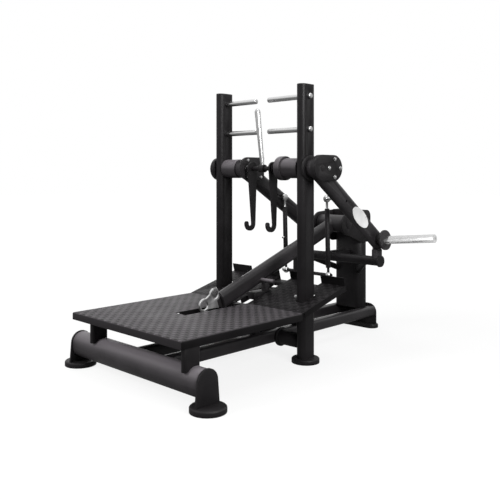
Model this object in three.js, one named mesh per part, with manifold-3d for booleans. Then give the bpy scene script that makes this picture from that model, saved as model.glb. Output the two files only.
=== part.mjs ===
// A belt squat machine: a deck on a floor frame, two posts with grips, a belt arm that swings up
// through a slot in the deck, and a weight arm that link rods raise with it. Millimetres, +Z up.
// +X is the machine's right side (the weight horn), +Y its rear. The sizes below are measured
// from the mid-plane, the line of the posts and the floor; the last lines centre the whole part.
import * as THREE from "three";
import { mergeVertices } from "three/addons/utils/BufferGeometryUtils.js";
import Module from "manifold-3d";

// Fits and sheet
const gap = 0.3; // between pieces that rest on or bolt to each other
const turnGap = 0.3; // round a shaft that turns
const tubeWall = 4;
const ventRadius = 5; // coating drains out of a closed tube through this hole
const weldOverlap = 2; // how far a welded piece reaches into its carrier

// Floor frame
const frontTube = { y: -934, z: 122, depth: 118, height: 140, halfLength: 528 };
const frontPlate = { thickness: 12, rim: 4, footWidth: 144 };
const foot = { height: 28, chamfer: 5 };
const frontFoot = { x: 540, radius: 88 };
const postFootRadius = 81;
const rearFoot = { y: 1010, width: 310, depth: 100 };
const rail = { x: 118, width: 60, height: 70, bottom: 85, corner: 18, rear: 1000 };
const rearPlate = { width: 300, top: 170, corner: 60, thickness: 12 };
const tie = { radius: 44, z: 116, flangeRadius: 56, flangeThickness: 12 };

// Posts and grips
const post = { x: 340, width: 60, depth: 120, top: 1600, capThickness: 8 };
const grip = { radius: 16, inner: 50, stub: 13, edge: 3, belowTop: { upper: 69, lower: 259 } };

// Deck and footplates
const deck = { top: 323, halfWidth: 465, front: -1031, crease: -175, sheet: 5, skirt: 40, round: 8 };
const slot = { halfWidth: 45, reach: 173, lining: 45, liningInset: 34 };
const plate = { slope: 15, length: 404, lip: 50, outerSkirt: 32, seam: 0.5 };
const notch = { inner: 225, outer: 290, depth: 90 };
const postClearance = 5;
const deckBlock = { width: 30, depth: 100, corner: 12, front: -1004, drop: 22 };
const deckBlockInset = { left: 203, right: 88 }; // from the front tube's ends
const bearer = { halfLength: 435, side: 40, legWidth: 50, corner: 6, frontGap: 39, rearY: -215, plateY: 150 };

// Column, axle and cheeks at the rear
const armPivot = { y: 715, z: 745 };
const column = { y: 915, width: 230, depth: 115, top: 700 };
const cheek = { thickness: 12, noseRadius: 78, top: 835, rear: 973, bottom: 612, corner: 45 };
const axle = { radius: 20, headRadius: 30, headThickness: 4 };

// Rest beam behind the arms
const beam = { y: 625, z: 530, depth: 70, height: 58, left: -200, right: 440 };
const beamPlate = { thickness: 8, rim: 7 };
const brace = { radius: 20, z: 520, footZ: 400, left: -160, right: 320 };
const bracket = { halfWidth: 40, height: 50 };
const restPad = { halfWidth: 20, depth: 56 };

// Belt arm
const beltArm = { slope: 20, length: 1128, width: 60, height: 100, hubRadius: 59, hubHalf: 105 };
const peg = { radius: 13, halfLength: 130, y: -40, z: 443 };
const endPlate = 8;
const hitch = {
  thickness: 12,
  lower: { out: 133.02672, down: 14.20128 }, // lower eye, from the middle of the arm's end
  upper: { back: 80, up: 52 }, // upper eye, from the lower one
  lobe: 38,
  eye: 26,
  waist: 24,
  footRadius: 40,
};
const bumper = { y: 25, radius: 25, base: 373 };
const stand = { halfWidth: 30, front: -100, rear: 130, bottom: 330, footHalf: 30, corner: 6 };

// Link rods
const rodFoot = { y: 350, z: 452 };
const rodHead = { y: 335, z: 930 };
const rod = { left: -115, right: 235, tubeRadius: 15, neckRadius: 8, neckLength: 62, footNeck: 26 };
const rodEye = { radius: 22, thickness: 22, studRadius: 9, studGap: 0.5 };
const rodBall = { radius: 21, halfWidth: 17, barRadius: 11, barEnd: 8 };
const dropBracket = { halfWidth: 24, depth: 70, corner: 8 };

// Head axis: drums, levers and the release catch
const head = { z: 1117 };
const drum = { radius: 59, inner: 190, flangeRadius: 72, flangeInner: 150 };
const outerCap = { radius: 74, left: 26, right: 14 };
const weightArm = { slope: 36.2, length: 800, width: 50, height: 108, inner: 385, holeAt: 330, holeRadius: 7 };
const armPlate = { thickness: 8, rim: 6 };
const cover = { radius: 75, reach: 111, thickness: 31, bolts: 4, boltCircle: 52, edge: 3 };
const horn = { fromEnd: 41, hubRadius: 36, hubLength: 38, collarRadius: 63, collar: 12, radius: 25, tip: 825, rise: 5.4 };
const badge = { fromEnd: 303, halfLength: 80, halfWidth: 43, thickness: 2 };
const lever = { slope: 31, length: 758, width: 52, height: 108, inner: -133, headRear: 150, headRadius: 72, headPlate: 6 };
const headBolts = { up: 53, rear: 118 };
const catchShaft = { radius: 13.5, left: -126, right: 148, spigotRadius: 9, spigotLength: 24 };
const hook = { x: 88, thickness: 12, eyeRadius: 40, hubRadius: 30, hubLength: 12, stem: 60 };
const throat = { inner: 18, outer: 40, tip: 20 };
const travel = { caught: 25, catch: 13 }; // degrees: the belt arm when its peg sits in the hooks, and their turn
const handle = { top: 1480, lean: 47, foot: 13, tip: 18, collarRadius: 24, collarHalf: 20 };
const bolt = { radius: 9, height: 6, sides: 6 };

// Roundness: steps on a quarter turn of large and small curves
const largeSteps = 6;
const smallSteps = 4;
const weldDistance = 1e-4;
const quarter = Math.PI / 2;
const degrees = Math.PI / 180;

// The belt arm's end at rest, the hitch's eyes, the slot that reaches in front of them, and the
// bearer past the slot
const armTip = {
  y: armPivot.y - beltArm.length * Math.cos(beltArm.slope * degrees),
  z: armPivot.z - beltArm.length * Math.sin(beltArm.slope * degrees),
};
const lowerEye = { y: armTip.y - hitch.lower.out, z: armTip.z - hitch.lower.down };
const upperEye = { y: lowerEye.y + hitch.upper.back, z: lowerEye.z + hitch.upper.up };
const slotFront = lowerEye.y - slot.reach;
const bearerFront = slotFront - bearer.frontGap;

const kernel = await Module();
kernel.setup();

const paint = {
  frame: new THREE.MeshStandardMaterial({ color: 0x17181a, roughness: 0.55, metalness: 0.2 }),
  chrome: new THREE.MeshStandardMaterial({ color: 0xd2d5d8, roughness: 0.18, metalness: 1 }),
  alloy: new THREE.MeshStandardMaterial({ color: 0xb9bcc0, roughness: 0.35, metalness: 1 }),
  rubber: new THREE.MeshStandardMaterial({ color: 0x0c0c0d, roughness: 0.9, metalness: 0 }),
};

// Solids from three.js geometry

function solid(geometry) {
  geometry.deleteAttribute("normal");
  geometry.deleteAttribute("uv");
  const welded = mergeVertices(geometry, weldDistance);
  return new kernel.Manifold(
    new kernel.Mesh({
      numProp: 3,
      vertProperties: welded.attributes.position.array,
      triVerts: new Uint32Array(welded.index.array),
    }),
  );
}

const join = (first, ...others) => others.reduce((sum, body) => sum.add(body), first);
const cut = (first, ...others) => others.reduce((rest, body) => rest.subtract(body), first);

function extrude(shape, length, steps) {
  return new THREE.ExtrudeGeometry(shape, {
    depth: length,
    bevelEnabled: false,
    curveSegments: steps / 2,
  });
}

const xAxis = new THREE.Vector3(1, 0, 0);
const yAxis = new THREE.Vector3(0, 1, 0);
const zAxis = new THREE.Vector3(0, 0, 1);
const sideways = new THREE.Matrix4().makeBasis(yAxis, zAxis, xAxis);
const lengthways = new THREE.Matrix4().makeBasis(xAxis, zAxis, yAxis.clone().negate());

// A shape drawn in (Y, Z), from one X to another
function alongX(shape, from, to, steps = largeSteps) {
  const body = extrude(shape, to - from, steps).applyMatrix4(sideways);
  return solid(body.translate(from, 0, 0));
}

// A shape drawn in (X, Z), from one Y to another
function alongY(shape, from, to, steps = largeSteps) {
  const body = extrude(shape, to - from, steps).applyMatrix4(lengthways);
  return solid(body.translate(0, to, 0));
}

// A shape drawn in (X, Y), from one Z to another
function alongZ(shape, from, to, steps = largeSteps) {
  return solid(extrude(shape, to - from, steps).translate(0, 0, from));
}

// An arc drawn in quarter turns, so that each quarter gets the same number of steps
function arc(shape, u, v, radius, from, turns) {
  for (let i = 0; i < Math.abs(turns); i += 1) {
    const start = from + Math.sign(turns) * i * quarter;
    shape.absarc(u, v, radius, start, start + Math.sign(turns) * quarter, turns < 0);
  }
}

function circle(radius, u = 0, v = 0) {
  const shape = new THREE.Shape();
  arc(shape, u, v, radius, 0, 4);
  return shape;
}

// A rectangle with rounded corners; a corner of half the width makes a flat oval
function rounded(width, height, corner, u = 0, v = 0) {
  const a = width / 2 - corner;
  const b = height / 2 - corner;
  const shape = new THREE.Shape();
  shape.absarc(u + a, v - b, corner, -quarter, 0, false);
  shape.absarc(u + a, v + b, corner, 0, quarter, false);
  shape.absarc(u - a, v + b, corner, quarter, 2 * quarter, false);
  shape.absarc(u - a, v - b, corner, 2 * quarter, 3 * quarter, false);
  shape.closePath();
  return shape;
}

const flatOval = (width, height, u, v) =>
  rounded(width, height, Math.min(width, height) / 2, u, v);

function hollow(shape, inner) {
  shape.holes.push(inner);
  return shape;
}

const ovalTube = (width, height, u, v) =>
  hollow(
    flatOval(width, height, u, v),
    flatOval(width - 2 * tubeWall, height - 2 * tubeWall, u, v),
  );

const box = (x0, x1, y0, y1, z0, z1) =>
  solid(
    new THREE.BoxGeometry(x1 - x0, y1 - y0, z1 - z0).translate(
      (x0 + x1) / 2,
      (y0 + y1) / 2,
      (z0 + z1) / 2,
    ),
  );

const bar = (radius, from, to, y, z, steps = largeSteps) =>
  alongX(circle(radius, y, z), from, to, steps);

// A turned piece about the X axis through (y, z): pairs of [x, radius]
function turned(profile, y, z, steps = largeSteps) {
  const points = profile.map(([x, radius]) => new THREE.Vector2(radius, x));
  const body = new THREE.LatheGeometry(points, 4 * steps);
  return solid(body.rotateZ(-quarter).translate(0, y, z));
}

// A turned piece about an upright axis: pairs of [radius, z]
function upright(profile, x, y, steps = largeSteps) {
  const points = profile.map(([radius, z]) => new THREE.Vector2(radius, z));
  return solid(new THREE.LatheGeometry(points, 4 * steps).rotateX(quarter).translate(x, y, 0));
}

// A body drawn about the X axis, turned by an angle and carried to its pivot
const swing = (body, angle, { y, z }) => body.rotate([angle, 0, 0]).translate([0, y, z]);

// A round strut from one point to another
function strut(radius, from, to) {
  const way = new THREE.Vector3().subVectors(to, from);
  const turn = new THREE.Quaternion().setFromUnitVectors(yAxis, way.clone().normalize());
  const middle = new THREE.Vector3().addVectors(from, to).divideScalar(2);
  const body = new THREE.CylinderGeometry(radius, radius, way.length(), 4 * smallSteps);
  return solid(body.applyQuaternion(turn).translate(middle.x, middle.y, middle.z));
}

// Hexagon bolt heads on a face that looks along X; side is +1 or -1
function boltHeads(places, face, side) {
  return places.map(([y, z]) => {
    const turn = new THREE.CylinderGeometry(bolt.radius, bolt.radius, bolt.height + weldOverlap, bolt.sides);
    const middle = face + (side * (bolt.height - weldOverlap)) / 2;
    return solid(turn.rotateZ(quarter).translate(middle, y, z));
  });
}

// Nodes of the part

const machine = new THREE.Group();

function add(name, body, material = paint.frame) {
  const { vertProperties, triVerts } = body.getMesh();
  const geometry = new THREE.BufferGeometry();
  geometry.setAttribute("position", new THREE.BufferAttribute(vertProperties, 3));
  geometry.setIndex(new THREE.BufferAttribute(triVerts, 1));
  geometry.computeVertexNormals();
  const mesh = new THREE.Mesh(geometry, material);
  mesh.name = name;
  machine.add(mesh);
}

const sides = [
  { name: "left", sign: -1 },
  { name: "right", sign: 1 },
];

// A body made for the right side, put on either side
const onSide = (body, sign) => (sign > 0 ? body : body.mirror([1, 0, 0]));

// Floor frame

function addFloorFrame() {
  const section = ovalTube(frontTube.depth, frontTube.height, frontTube.y, frontTube.z);
  const tube = alongX(section, -frontTube.halfLength, frontTube.halfLength);
  add("front_base_tube", tube);

  const outer = frontTube.halfLength + gap;
  const crown = frontTube.depth / 2 + frontPlate.rim;
  const crownZ = frontTube.z + (frontTube.height - frontTube.depth) / 2;
  const outline = new THREE.Shape();
  outline.moveTo(frontTube.y - frontPlate.footWidth / 2, foot.height + gap);
  outline.lineTo(frontTube.y + frontPlate.footWidth / 2, foot.height + gap);
  arc(outline, frontTube.y, crownZ, crown, 0, 2);
  outline.closePath();
  const endPlate = alongX(outline, outer, outer + frontPlate.thickness);

  const disc = (radius, x, y) =>
    upright(
      [
        [0, 0],
        [radius, 0],
        [radius, foot.height - foot.chamfer],
        [radius - foot.chamfer, foot.height],
        [0, foot.height],
      ],
      x,
      y,
    );

  const railSection = () =>
    hollow(
      rounded(rail.width, rail.height, rail.corner, rail.x, rail.bottom + rail.height / 2),
      rounded(
        rail.width - 2 * tubeWall,
        rail.height - 2 * tubeWall,
        rail.corner - tubeWall,
        rail.x,
        rail.bottom + rail.height / 2,
      ),
    );
  const railFront = frontTube.y + frontTube.depth / 2 + gap;
  const railBody = alongY(railSection(), railFront, rail.rear, smallSteps);

  const railOuter = rail.x + rail.width / 2 + gap;
  const postInner = post.x - post.width / 2 - gap;
  const tieSection = () => hollow(circle(tie.radius, 0, tie.z), circle(tie.radius - tubeWall, 0, tie.z));
  const flangeSection = hollow(
    circle(tie.flangeRadius, 0, tie.z),
    circle(tie.radius - tubeWall, 0, tie.z),
  );
  const postTie = join(
    alongX(tieSection(), railOuter, postInner),
    alongX(flangeSection, railOuter, railOuter + tie.flangeThickness),
  );

  for (const { name, sign } of sides) {
    add("front_end_plate_" + name, onSide(endPlate, sign));
    add("front_foot_" + name, disc(frontFoot.radius, sign * frontFoot.x, frontTube.y), paint.rubber);
    add("post_foot_" + name, disc(postFootRadius, sign * post.x, 0), paint.rubber);
    add("base_rail_" + name, onSide(railBody, sign));
    add("post_tie_" + name, onSide(postTie, sign));
  }
  const railInner = rail.x - rail.width / 2 - gap;
  add("centre_tie", alongX(tieSection(), -railInner, railInner));

  const half = rearPlate.width / 2;
  const rearOutline = new THREE.Shape();
  rearOutline.moveTo(-half, foot.height + gap);
  rearOutline.lineTo(half, foot.height + gap);
  rearOutline.absarc(half - rearPlate.corner, rearPlate.top - rearPlate.corner, rearPlate.corner, 0, quarter, false);
  rearOutline.absarc(rearPlate.corner - half, rearPlate.top - rearPlate.corner, rearPlate.corner, quarter, 2 * quarter, false);
  rearOutline.closePath();
  const rearFace = rail.rear + gap;
  add("rear_end_plate", alongY(rearOutline, rearFace, rearFace + rearPlate.thickness));

  const pad = flatOval(rearFoot.width, rearFoot.depth, 0, rearFoot.y);
  const step = flatOval(
    rearFoot.width - 2 * foot.chamfer,
    rearFoot.depth - 2 * foot.chamfer,
    0,
    rearFoot.y,
  );
  const rearPad = join(alongZ(pad, 0, foot.height - foot.chamfer), alongZ(step, 0, foot.height));
  add("rear_foot", rearPad, paint.rubber);
}

// Posts and grips

function addPosts() {
  const envelope = alongZ(flatOval(post.width, post.depth, post.x, 0), foot.height + gap, post.top - post.capThickness);
  const inside = flatOval(post.width - 2 * tubeWall, post.depth - 2 * tubeWall, post.x, 0);
  const capOutline = flatOval(post.width, post.depth, post.x, 0);
  const shell = cut(
    join(envelope, alongZ(capOutline, post.top - post.capThickness, post.top)),
    alongZ(inside, 0, post.top - post.capThickness),
  );
  const across = [post.x - post.width, post.x + post.width];
  const gripHoles = Object.values(grip.belowTop).map((below) =>
    bar(grip.radius + gap, ...across, 0, post.top - below),
  );
  const axleHole = bar(axle.radius + gap, ...across, 0, head.z);
  const body = cut(shell, axleHole, ...gripHoles);

  const end = post.x + post.width / 2 + grip.stub;
  const gripProfile = [
    [grip.inner, 0],
    [grip.inner, grip.radius - grip.edge],
    [grip.inner + grip.edge, grip.radius],
    [end - grip.edge, grip.radius],
    [end, grip.radius - grip.edge],
    [end, 0],
  ];
  for (const { name, sign } of sides) {
    add("post_" + name, onSide(body, sign));
    for (const [level, below] of Object.entries(grip.belowTop)) {
      const z = post.top - below;
      const handgrip = turned(gripProfile, 0, z);
      add("grip_" + level + "_" + name, onSide(handgrip, sign), paint.chrome);
    }
  }
}

// Deck, footplates and what carries them

function addDeck() {
  const sheetBottom = deck.top - deck.sheet;
  const skirtBottom = deck.top - deck.skirt;
  const floorZ = skirtBottom - deck.round;
  const hump = (inset) => {
    const shape = rounded(
      2 * (deck.halfWidth - inset),
      2 * (deck.top - inset - floorZ),
      deck.round - inset,
      0,
      floorZ,
    );
    return alongY(shape, deck.front + inset, deck.crease + (inset && deck.sheet), smallSteps);
  };
  const front = (inset) => {
    const shape = rounded(
      2 * (deck.crease - deck.front - inset),
      2 * (deck.top - inset - floorZ),
      deck.round - inset,
      deck.crease,
      floorZ,
    );
    return alongX(shape, -deck.halfWidth - deck.sheet, deck.halfWidth + deck.sheet, smallSteps);
  };
  const shell = cut(
    hump(0).intersect(front(0)),
    hump(deck.sheet).intersect(front(deck.sheet)),
    box(-2 * deck.halfWidth, 2 * deck.halfWidth, 2 * deck.front, deck.top, 0, skirtBottom),
    box(-2 * deck.halfWidth, 2 * deck.halfWidth, deck.crease, -deck.front, 0, 2 * deck.top),
    box(-slot.halfWidth, slot.halfWidth, slotFront, deck.top, sheetBottom - deck.sheet, 2 * deck.top),
  );
  // The slot's long edges are folded down
  const liningOuter = slot.halfWidth + deck.sheet;
  const linings = sides.map(({ sign }) =>
    onSide(
      box(
        slot.halfWidth,
        liningOuter,
        slotFront + slot.liningInset,
        deck.crease - slot.liningInset,
        deck.top - slot.lining,
        sheetBottom + weldOverlap,
      ),
      sign,
    ),
  );
  const bearerSpace = (y, top) =>
    box(-bearer.halfLength - gap, bearer.halfLength + gap, y - gap, y + bearer.side + gap, 0, top);
  add(
    "deck",
    cut(
      join(shell, ...linings),
      bearerSpace(bearerFront, sheetBottom),
      bearerSpace(bearer.rearY, sheetBottom),
    ),
  );

  // Footplate, drawn flat from the crease and tilted about it
  const crease = { y: deck.crease, z: deck.top };
  const flat = join(
    box(slot.halfWidth, deck.halfWidth, plate.seam, plate.length, -deck.sheet, 0),
    box(slot.halfWidth, deck.halfWidth, plate.length - deck.sheet, plate.length, -deck.sheet, plate.lip),
    box(deck.halfWidth - deck.sheet, deck.halfWidth, 2 * deck.round, plate.length, -plate.outerSkirt, 0),
    box(slot.halfWidth, slot.halfWidth + deck.sheet, slot.liningInset, plate.length, -plate.outerSkirt, 0),
  );
  const gapCut = box(
    notch.inner,
    notch.outer,
    plate.length - notch.depth,
    2 * plate.length,
    -deck.skirt,
    2 * plate.lip,
  );
  const postSpace = alongZ(
    flatOval(post.width + 2 * postClearance, post.depth + 2 * postClearance, post.x, 0),
    0,
    post.top,
  );
  const above = swing(
    box(-2 * deck.halfWidth, 2 * deck.halfWidth, -plate.length, 2 * plate.length, -deck.sheet - gap, deck.top),
    plate.slope,
    crease,
  );
  const bearerRear = bearer.plateY + bearer.side;
  const highest = deck.top + (bearerRear - deck.crease) * Math.tan(plate.slope * degrees);
  const footplate = cut(
    swing(cut(flat, gapCut), plate.slope, crease),
    postSpace,
    cut(bearerSpace(bearer.plateY, highest), above),
  );
  for (const { name, sign } of sides) {
    add("footplate_" + name, onSide(footplate, sign));
  }

  // Blocks between the front tube and the deck
  const crownSpace = alongX(
    flatOval(frontTube.depth + 2 * gap, frontTube.height + 2 * gap, frontTube.y, frontTube.z),
    -frontTube.halfLength,
    frontTube.halfLength,
  );
  const blockBottom = frontTube.z + frontTube.height / 2 - deckBlock.drop;
  for (const { name, sign } of sides) {
    const section = rounded(
      deckBlock.width,
      deckBlock.depth,
      deckBlock.corner,
      sign * (frontTube.halfLength - deckBlockInset[name]),
      deckBlock.front + deckBlock.depth / 2,
    );
    const block = alongZ(section, blockBottom, sheetBottom - gap, smallSteps);
    add("deck_support_" + name, cut(block, crownSpace));
  }

  // Welded bearers under the deck and the footplates, standing on the rails
  const railTop = rail.bottom + rail.height + gap;
  const frameUnder = (y, top) => {
    const beamBody = box(-bearer.halfLength, bearer.halfLength, y, y + bearer.side, top - bearer.side, top);
    const legs = sides.map(({ sign }) => {
      const section = rounded(bearer.legWidth, bearer.side, bearer.corner, sign * rail.x, y + bearer.side / 2);
      return alongZ(section, railTop, top - bearer.side + weldOverlap, smallSteps);
    });
    return join(beamBody, ...legs);
  };
  const level = sheetBottom - gap;
  add("deck_bearer_front", frameUnder(bearerFront, level));
  add("deck_bearer_rear", frameUnder(bearer.rearY, level));
  add("footplate_bearer", cut(frameUnder(bearer.plateY, highest), above));
}

// Column with its cheek plates, the arm's axle and the rest beam

function addColumn() {
  const railTop = rail.bottom + rail.height + gap;
  const section = ovalTube(column.width, column.depth, 0, column.y);
  add("column", alongZ(section, railTop, column.top));

  const frontY = column.y - column.depth / 2;
  const rearY = column.y + column.depth / 2;
  const innerX = column.width / 2 + gap;
  const headOutline = new THREE.Shape();
  headOutline.moveTo(frontY, column.top + gap);
  headOutline.lineTo(rearY, column.top + gap);
  headOutline.absarc(rearY - cheek.corner, cheek.top - cheek.corner, cheek.corner, 0, quarter, false);
  headOutline.lineTo(frontY, cheek.top);
  headOutline.closePath();
  add("column_head", alongX(headOutline, -column.width / 2, column.width / 2));

  const cheekOutline = new THREE.Shape();
  const { noseRadius, corner } = cheek;
  cheekOutline.absarc(cheek.rear - corner, cheek.top - corner, corner, 0, quarter, false);
  arc(cheekOutline, armPivot.y, armPivot.z, noseRadius, quarter, 2);
  cheekOutline.lineTo(frontY, cheek.bottom);
  cheekOutline.lineTo(cheek.rear, cheek.bottom);
  cheekOutline.closePath();
  const outerX = innerX + cheek.thickness;
  const boltPlaces = [
    [frontY + bolt.radius * 2, cheek.top - bolt.radius * 3],
    [rearY - bolt.radius * 3, column.top],
    [frontY + bolt.radius * 2, column.top - bolt.radius * 2],
    [rearY - bolt.radius * 3, cheek.bottom + bolt.radius * 2],
  ];
  const cheekBody = cut(
    join(alongX(cheekOutline, innerX, outerX), ...boltHeads(boltPlaces, outerX, 1)),
    bar(axle.radius + gap, innerX - gap, outerX + gap, armPivot.y, armPivot.z),
  );
  for (const { name, sign } of sides) {
    add("column_cheek_" + name, onSide(cheekBody, sign));
  }
  const axleEnd = outerX + gap + axle.headThickness;
  const axleProfile = [
    [-axleEnd, 0],
    [-axleEnd, axle.headRadius],
    [-outerX - gap, axle.headRadius],
    [-outerX - gap, axle.radius],
    [outerX + gap, axle.radius],
    [outerX + gap, axle.headRadius],
    [axleEnd, axle.headRadius],
    [axleEnd, 0],
  ];
  add("arm_axle", turned(axleProfile, armPivot.y, armPivot.z), paint.chrome);

  // Rest beam, its end plates welded on, with a vent underneath
  const plateOutline = flatOval(beam.depth + 2 * beamPlate.rim, beam.height + 2 * beamPlate.rim, beam.y, beam.z);
  const vent = upright(
    [
      [0, beam.z - beam.height],
      [ventRadius, beam.z - beam.height],
      [ventRadius, beam.z],
      [0, beam.z],
    ],
    beam.right - beam.height,
    beam.y,
    smallSteps,
  );
  const beamBody = cut(
    join(
      alongX(ovalTube(beam.depth, beam.height, beam.y, beam.z), beam.left, beam.right),
      alongX(plateOutline, beam.left, beam.left + beamPlate.thickness),
      alongX(plateOutline, beam.right - beamPlate.thickness, beam.right),
    ),
    vent,
  );
  add("rest_beam", beamBody);
  const beamSpace = alongX(
    flatOval(beam.depth + 2 * gap, beam.height + 2 * gap, beam.y, beam.z),
    beam.left,
    beam.right,
  );
  const columnSpace = alongZ(
    flatOval(column.width + 2 * gap, column.depth + 2 * gap, 0, column.y),
    0,
    column.top,
  );
  const seat = column.width / 2 - column.depth / 2;
  for (const { name, sign } of sides) {
    const from = new THREE.Vector3(brace[name], beam.y, brace.z);
    const to = new THREE.Vector3(sign * seat, column.y, brace.footZ);
    add("rest_brace_" + name, cut(strut(brace.radius, from, to), beamSpace, columnSpace));
  }
  const web = box(
    -bracket.halfWidth,
    bracket.halfWidth,
    beam.y,
    column.y,
    beam.z - bracket.height / 2,
    beam.z + bracket.height / 2,
  );
  add("beam_bracket", cut(web, beamSpace, columnSpace));

  // Rubber pad between the beam and the weight arm
  const armX = weightArm.inner + weightArm.width / 2;
  const armWidth = weightArm.width + 2 * gap;
  const armHeight = weightArm.height + 2 * gap;
  const endWidth = armWidth + 2 * armPlate.rim;
  const endHeight = armHeight + 2 * armPlate.rim;
  const armSpace = swing(
    join(
      alongY(flatOval(armWidth, armHeight, armX, 0), 0, weightArm.length),
      alongY(
        rounded(endWidth, endHeight, armWidth / 2, armX, 0),
        weightArm.length - weldOverlap - gap,
        weightArm.length + armPlate.thickness + gap,
      ),
      box(armX - armWidth, armX + armWidth, 0, 2 * weightArm.length, 0, weightArm.length),
    ),
    -weightArm.slope,
    { y: 0, z: head.z },
  );
  const padBlock = box(
    armX - restPad.halfWidth,
    armX + restPad.halfWidth,
    beam.y - restPad.depth / 2,
    beam.y + restPad.depth / 2,
    beam.z,
    armPivot.z - beam.depth * 2,
  );
  add("rest_pad", cut(padBlock, beamSpace, armSpace), paint.rubber);
}

// Belt arm, what hangs on it and what it rests on

function addBeltArm() {
  const { slope, length, width, height } = beltArm;
  const tube = alongY(ovalTube(width, height, 0, 0), -length, 0);
  const frontPlateBody = alongY(
    flatOval(width, height, 0, 0),
    -length - endPlate,
    -length + weldOverlap,
  );
  const vent = upright(
    [
      [0, -height],
      [ventRadius, -height],
      [ventRadius, 0],
      [0, 0],
    ],
    0,
    width - length,
    smallSteps,
  );
  const arm = swing(cut(join(tube, frontPlateBody), vent), slope, armPivot);
  const hub = bar(beltArm.hubRadius, -beltArm.hubHalf, beltArm.hubHalf, armPivot.y, armPivot.z);
  const pegBar = bar(peg.radius, -peg.halfLength, peg.halfLength, peg.y, peg.z);

  const axleHole = bar(
    axle.radius + turnGap,
    -beltArm.hubHalf - gap,
    beltArm.hubHalf + gap,
    armPivot.y,
    armPivot.z,
  );
  add("belt_arm", cut(join(arm, hub, pegBar), axleHole));

  // Hitch plate on the arm's end plate: a figure of eight, its foot cut along the end plate
  const half = hitch.thickness / 2;
  const lobe = (eye, radius) => alongX(circle(radius, eye.y, eye.z), -half, half);
  const root = alongX(circle(hitch.footRadius, armTip.y, armTip.z), -half, half);
  const shape = join(
    kernel.Manifold.hull([lobe(upperEye, hitch.waist), lobe(lowerEye, hitch.waist), root]),
    lobe(upperEye, hitch.lobe),
    lobe(lowerEye, hitch.lobe),
  );
  const endFace = length + endPlate + gap;
  const armRoom = swing(box(-height, height, -endFace, 0, -height, height), slope, armPivot);
  const eyes = [upperEye, lowerEye].map((eye) =>
    alongX(circle(hitch.eye, eye.y, eye.z), -hitch.thickness, hitch.thickness),
  );
  add("hitch_plate", cut(shape, armRoom, ...eyes), paint.alloy);

  // Bracket under the arm and the cross bar that carries the link rods
  const armSpace = swing(
    alongY(flatOval(width + 2 * gap, height + 2 * gap, 0, 0), -length, 0),
    slope,
    armPivot,
  );
  const barLeft = rod.left - rodBall.halfWidth - rodBall.barEnd;
  const barRight = rod.right + rodBall.halfWidth + rodBall.barEnd;
  const armAbove = armPivot.z - (armPivot.y - rodFoot.y) * Math.tan(slope * degrees);
  const hangerOutline = rounded(
    dropBracket.depth,
    armAbove - rodFoot.z + dropBracket.depth / 2,
    dropBracket.corner,
    rodFoot.y,
    (armAbove + rodFoot.z - dropBracket.depth / 2) / 2,
  );
  const hanger = cut(
    alongX(hangerOutline, -dropBracket.halfWidth, dropBracket.halfWidth, smallSteps),
    armSpace,
  );
  add("rod_bracket", join(hanger, bar(rodBall.barRadius, barLeft, barRight, rodFoot.y, rodFoot.z)));

  // Stand and rubber bumper under the arm
  const tieSpace = bar(tie.radius + gap, -rail.x, rail.x, 0, tie.z);
  const standFoot = rounded(2 * stand.footHalf, 2 * stand.footHalf, stand.corner);
  const standHead = rounded(
    2 * stand.halfWidth,
    stand.rear - stand.front,
    stand.corner,
    0,
    (stand.rear + stand.front) / 2,
  );
  const standBody = join(
    cut(alongZ(standFoot, tie.z, stand.bottom + weldOverlap, smallSteps), tieSpace),
    alongZ(standHead, stand.bottom, bumper.base, smallSteps),
  );
  add("bumper_stand", standBody);
  const rubber = upright(
    [
      [0, bumper.base + gap],
      [bumper.radius, bumper.base + gap],
      [bumper.radius, armPivot.z],
      [0, armPivot.z],
    ],
    0,
    bumper.y,
  );
  const armAndAbove = join(
    armSpace,
    swing(box(-height, height, -length, 0, 0, length), slope, armPivot),
  );
  add("arm_bumper", cut(rubber, armAndAbove), paint.rubber);
}

// Link rods: a chrome ball on the cross bar, a black tube, and a chrome eye with its stud

function addLinkRods() {
  const reach = Math.hypot(rodHead.y - rodFoot.y, rodHead.z - rodFoot.z);
  const lean = Math.atan2(rodFoot.y - rodHead.y, rodHead.z - rodFoot.z) / degrees;
  const studEnds = {
    left: lever.inner + rodEye.studGap,
    right: weightArm.inner - rodEye.studGap,
  };
  for (const { name } of sides) {
    const x = rod[name];
    const stem = upright(
      [
        [0, 0],
        [rod.neckRadius, 0],
        [rod.neckRadius, rodBall.radius + rod.footNeck],
        [rod.tubeRadius, rodBall.radius + rod.footNeck],
        [rod.tubeRadius, reach - rod.neckLength],
        [rod.neckRadius, reach - rod.neckLength],
        [rod.neckRadius, reach],
        [0, reach],
      ],
      x,
      0,
      smallSteps,
    );
    const ball = solid(
      new THREE.SphereGeometry(rodBall.radius, 4 * smallSteps, 2 * smallSteps).translate(x, 0, 0),
    );
    const slab = box(
      x - rodBall.halfWidth,
      x + rodBall.halfWidth,
      -rodBall.radius,
      rodBall.radius,
      -rodBall.radius,
      rodBall.radius,
    );
    const eye = bar(rodEye.radius, x - rodEye.thickness / 2, x + rodEye.thickness / 2, 0, reach);
    const [from, to] = [x, studEnds[name]].sort((a, b) => a - b);
    const stud = bar(rodEye.studRadius, from, to, 0, reach);
    const hole = bar(rodBall.barRadius + turnGap, x - rodBall.radius, x + rodBall.radius, 0, 0);
    const body = cut(join(stem, ball.intersect(slab), eye, stud), hole);
    add("link_rod_" + name, swing(body, lean, rodFoot));
  }
}

// Drums, levers and the catch on the head axis

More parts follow.
